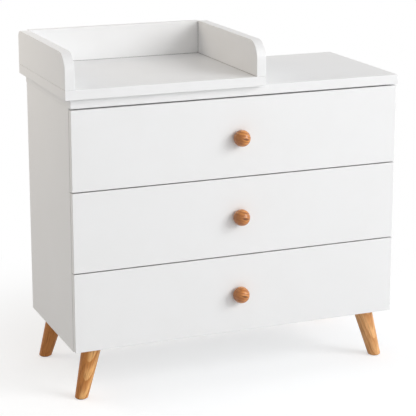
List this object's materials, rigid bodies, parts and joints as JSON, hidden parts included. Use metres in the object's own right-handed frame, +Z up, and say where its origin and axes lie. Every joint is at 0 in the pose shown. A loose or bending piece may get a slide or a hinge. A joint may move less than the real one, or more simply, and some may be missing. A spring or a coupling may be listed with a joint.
{
  "type": "changing dresser",
  "caption": "White chest of drawers on splayed turned wooden legs, with a raised three-sided changing tray over the left part of its top.",
  "frame": {"origin": "on the floor, below the middle of the whole piece's bounding box", "axes": "+X to the right seen from the front, +Y towards the back, +Z up; the drawers open towards -Y"},
  "size_m": [1.024, 0.48, 1.01],
  "materials": {
    "white_board": "satin white laminate on chipboard",
    "thin_board": "white-faced hardboard",
    "leg_wood": "oiled oak",
    "knob_wood": "oiled",
    "dowel_wood": "raw beech",
    "steel": "zinc-plated",
    "zinc": "cast zinc",
    "runner_steel": "white powder coat",
    "roller_plastic": "moulded nylon",
    "glide_plastic": "matte"
  },
  "bodies": {
    "cabinet": {"back_panel": "thin_board", "bottom_panel": "white_board", "cabinet_runner_screws": "steel", "cabinet_runners": "runner_steel", "cam_bolts": "steel", "cam_discs": "zinc", "carcass_dowels": "dowel_wood", "floor_glides": "glide_plastic", "hanger_bolts": "steel", "leg_back_left": "leg_wood", "leg_back_right": "leg_wood", "leg_front_left": "leg_wood", "leg_front_right": "leg_wood", "leg_plate_screws": "steel", "leg_plates": "steel", "side_panel_left": "white_board", "side_panel_right": "white_board", "top_panel": "white_board", "tray_back": "white_board", "tray_base": "white_board", "tray_board_screws": "steel", "tray_fixing_screws": "steel", "tray_side_left": "white_board", "tray_side_right": "white_board"},
    "cabinet_rollers_lower": {"cabinet_rollers_lower": "roller_plastic"},
    "cabinet_rollers_middle": {"cabinet_rollers_middle": "roller_plastic"},
    "cabinet_rollers_upper": {"cabinet_rollers_upper": "roller_plastic"},
    "drawer_lower": {"drawer_lower_back": "white_board", "drawer_lower_bottom": "thin_board", "drawer_lower_box_screws": "steel", "drawer_lower_cam_fittings": "zinc", "drawer_lower_front": "white_board", "drawer_lower_knob": "knob_wood", "drawer_lower_knob_screw": "steel", "drawer_lower_runners": "runner_steel", "drawer_lower_side_left": "white_board", "drawer_lower_side_right": "white_board"},
    "drawer_middle": {"drawer_middle_back": "white_board", "drawer_middle_bottom": "thin_board", "drawer_middle_box_screws": "steel", "drawer_middle_cam_fittings": "zinc", "drawer_middle_front": "white_board", "drawer_middle_knob": "knob_wood", "drawer_middle_knob_screw": "steel", "drawer_middle_runners": "runner_steel", "drawer_middle_side_left": "white_board", "drawer_middle_side_right": "white_board"},
    "drawer_rollers_lower": {"drawer_rollers_lower": "roller_plastic"},
    "drawer_rollers_middle": {"drawer_rollers_middle": "roller_plastic"},
    "drawer_rollers_upper": {"drawer_rollers_upper": "roller_plastic"},
    "drawer_upper": {"drawer_upper_back": "white_board", "drawer_upper_bottom": "thin_board", "drawer_upper_box_screws": "steel", "drawer_upper_cam_fittings": "zinc", "drawer_upper_front": "white_board", "drawer_upper_knob": "knob_wood", "drawer_upper_knob_screw": "steel", "drawer_upper_runners": "runner_steel", "drawer_upper_side_left": "white_board", "drawer_upper_side_right": "white_board"}
  },
  "joints": [
    {"name": "drawer_lower_slide", "type": "slide", "parent": "cabinet", "child": "drawer_lower", "axis": [0, -1, 0], "range_m": [0, 0.3]},
    {"name": "drawer_middle_slide", "type": "slide", "parent": "cabinet", "child": "drawer_middle", "axis": [0, -1, 0], "range_m": [0, 0.3]},
    {"name": "drawer_upper_slide", "type": "slide", "parent": "cabinet", "child": "drawer_upper", "axis": [0, -1, 0], "range_m": [0, 0.3]},
    {"name": "cabinet_rollers_lower_turn", "type": "hinge", "parent": "cabinet", "child": "cabinet_rollers_lower", "pos_m": [0.01, -0.1615, 0.1925], "axis": [1, 0, 0], "range_deg": [0, 1910]},
    {"name": "drawer_rollers_lower_turn", "type": "hinge", "parent": "drawer_lower", "child": "drawer_rollers_lower", "pos_m": [0.01, 0.2015, 0.1913], "axis": [1, 0, 0], "range_deg": [0, 1719]},
    {"name": "cabinet_rollers_middle_turn", "type": "hinge", "parent": "cabinet", "child": "cabinet_rollers_middle", "pos_m": [0.01, -0.1615, 0.4255], "axis": [1, 0, 0], "range_deg": [0, 1910]},
    {"name": "drawer_rollers_middle_turn", "type": "hinge", "parent": "drawer_middle", "child": "drawer_rollers_middle", "pos_m": [0.01, 0.2015, 0.4243], "axis": [1, 0, 0], "range_deg": [0, 1719]},
    {"name": "cabinet_rollers_upper_turn", "type": "hinge", "parent": "cabinet", "child": "cabinet_rollers_upper", "pos_m": [0.01, -0.1615, 0.6585], "axis": [1, 0, 0], "range_deg": [0, 1910]},
    {"name": "drawer_rollers_upper_turn", "type": "hinge", "parent": "drawer_upper", "child": "drawer_rollers_upper", "pos_m": [0.01, 0.2015, 0.6573], "axis": [1, 0, 0], "range_deg": [0, 1719]}
  ],
  "couplings": [
    {"joint": "cabinet_rollers_lower_turn", "follows": "drawer_lower_slide", "rad_per_m": 111.11},
    {"joint": "drawer_rollers_lower_turn", "follows": "drawer_lower_slide", "rad_per_m": 100},
    {"joint": "cabinet_rollers_middle_turn", "follows": "drawer_middle_slide", "rad_per_m": 111.11},
    {"joint": "drawer_rollers_middle_turn", "follows": "drawer_middle_slide", "rad_per_m": 100},
    {"joint": "cabinet_rollers_upper_turn", "follows": "drawer_upper_slide", "rad_per_m": 111.11},
    {"joint": "drawer_rollers_upper_turn", "follows": "drawer_upper_slide", "rad_per_m": 100}
  ]
}
